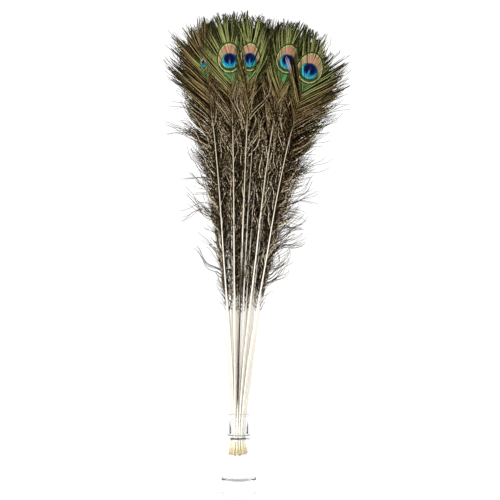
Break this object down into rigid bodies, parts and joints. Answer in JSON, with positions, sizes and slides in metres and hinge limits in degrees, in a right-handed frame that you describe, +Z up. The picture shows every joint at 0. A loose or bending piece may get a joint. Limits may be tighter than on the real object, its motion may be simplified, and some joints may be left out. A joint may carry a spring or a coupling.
{
  "type": "peacock feather bunch in a glass vase",
  "caption": "Tied bunch of long peacock tail feathers with iridescent eyes, fanned out and standing in a clear glass bottle vase.",
  "frame": {"origin": "centre of the vase's foot, on the surface that it stands on", "axes": "+Z up along the vase, +X to the right and -Y towards the viewer of the bunch's show side, where the front feathers' eyes face"},
  "size_m": [0.3913, 0.1913, 1.0373],
  "materials": {
    "glass": "gloss",
    "thread": "matte",
    "feather": "satin"
  },
  "bodies": {
    "root": {"vase": "glass", "tie": "thread", "feather_01": "feather", "feather_02": "feather", "feather_03": "feather", "feather_04": "feather", "feather_05": "feather", "feather_06": "feather", "feather_07": "feather", "feather_08": "feather", "feather_09": "feather", "feather_10": "feather", "feather_11": "feather", "feather_12": "feather", "feather_13": "feather", "feather_14": "feather", "feather_15": "feather", "feather_16": "feather", "feather_17": "feather", "feather_18": "feather", "feather_19": "feather", "feather_20": "feather", "feather_21": "feather", "feather_22": "feather", "feather_23": "feather", "feather_24": "feather", "feather_25": "feather", "feather_26": "feather", "feather_27": "feather", "feather_28": "feather", "feather_29": "feather", "feather_30": "feather", "feather_31": "feather", "feather_32": "feather", "feather_33": "feather", "feather_34": "feather", "feather_35": "feather", "feather_36": "feather", "feather_37": "feather"}
  },
  "joints": []
}
